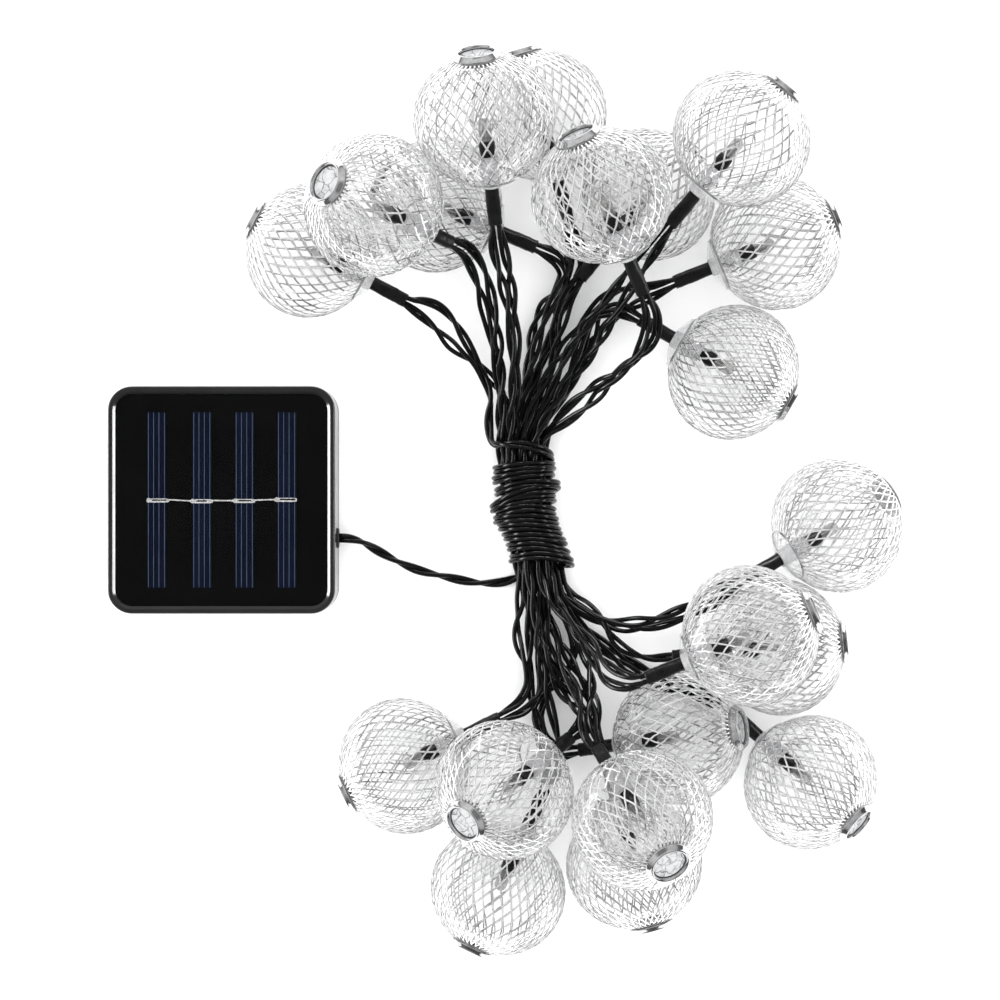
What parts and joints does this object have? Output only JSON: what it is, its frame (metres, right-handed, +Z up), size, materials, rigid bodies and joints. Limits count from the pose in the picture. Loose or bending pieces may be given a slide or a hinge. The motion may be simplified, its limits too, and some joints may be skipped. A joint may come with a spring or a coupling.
{
  "type": "solar string lights",
  "caption": "Solar string lights with wire-mesh globe lanterns on a bundled black two-wire string and a square solar panel box.",
  "frame": {"origin": "centre of the underside of the panel box and lanterns together, on the surface they lie on; the string's cords are not counted", "axes": "+Z up, away from the surface, with the solar panel facing +Z; +Y along the bundle from its lower fan of lanterns to its upper one; the panel box lies on the -X side"},
  "size_m": [0.2445, 0.2802, 0.0865],
  "materials": {
    "case_black": "gloss",
    "cover_black": "fine texture",
    "seal_rubber": "matt",
    "board_black": "gloss",
    "silicon_blue": "satin",
    "tinned_ribbon": "bright",
    "clear_resin": "gloss",
    "screw_steel": "bright",
    "button_grey": "satin",
    "switch_black": "satin",
    "pcb_green": "satin",
    "chip_black": "satin",
    "battery_wrap": "gloss",
    "contact_steel": "bright",
    "wire_black": "satin",
    "wire_red": "satin",
    "mesh_silver": "bright",
    "frosted_plastic": "frosted",
    "clear_plastic": "clear",
    "eyelet_chrome": "bright",
    "crackled_clear": "crackled",
    "lamp_epoxy": "clear",
    "sleeve_black": "matt"
  },
  "bodies": {
    "light_string": {"front_case": "case_black", "rear_cover": "cover_black", "gasket": "seal_rubber", "panel_board": "board_black", "solar_cells": "silicon_blue", "cell_tabs": "tinned_ribbon", "cell_links": "tinned_ribbon", "panel_resin": "clear_resin", "case_screws": "screw_steel", "power_switch": "switch_black", "mode_switch": "switch_black", "circuit_board": "pcb_green", "board_components": "chip_black", "battery": "battery_wrap", "battery_holder": "cover_black", "battery_contacts": "contact_steel", "lead_grommet": "seal_rubber", "lead_tails": "wire_black", "panel_wires": "wire_red", "battery_wires": "wire_red", "mesh_globes": "mesh_silver", "neck_cups": "frosted_plastic", "neck_tubes": "clear_plastic", "end_eyelets": "eyelet_chrome", "end_windows": "crackled_clear", "leds": "lamp_epoxy", "led_legs": "contact_steel", "shrink_sleeves": "sleeve_black", "lead_cord": "wire_black", "lead_tail": "wire_black", "wrap_coil": "wire_black", "span_cord_01": "wire_black", "span_cord_02": "wire_black", "span_cord_03": "wire_black", "span_cord_04": "wire_black", "span_cord_05": "wire_black", "span_cord_06": "wire_black", "span_cord_07": "wire_black", "span_cord_08": "wire_black", "span_cord_09": "wire_black", "span_cord_10": "wire_black", "span_cord_11": "wire_black", "span_cord_12": "wire_black", "span_cord_13": "wire_black", "span_cord_14": "wire_black", "span_cord_15": "wire_black", "span_cord_16": "wire_black", "span_cord_17": "wire_black", "span_cord_18": "wire_black", "span_cord_19": "wire_black"},
    "power_key": {"power_button": "button_grey", "power_plunger": "switch_black"},
    "mode_key": {"mode_button": "button_grey", "mode_plunger": "switch_black"}
  },
  "joints": [
    {"name": "power_press", "type": "slide", "parent": "light_string", "child": "power_key", "axis": [0, 0, 1], "range_m": [0, 0.0012], "stiffness_N_per_m": 400},
    {"name": "mode_press", "type": "slide", "parent": "light_string", "child": "mode_key", "axis": [0, 0, 1], "range_m": [0, 0.0012], "stiffness_N_per_m": 400}
  ]
}
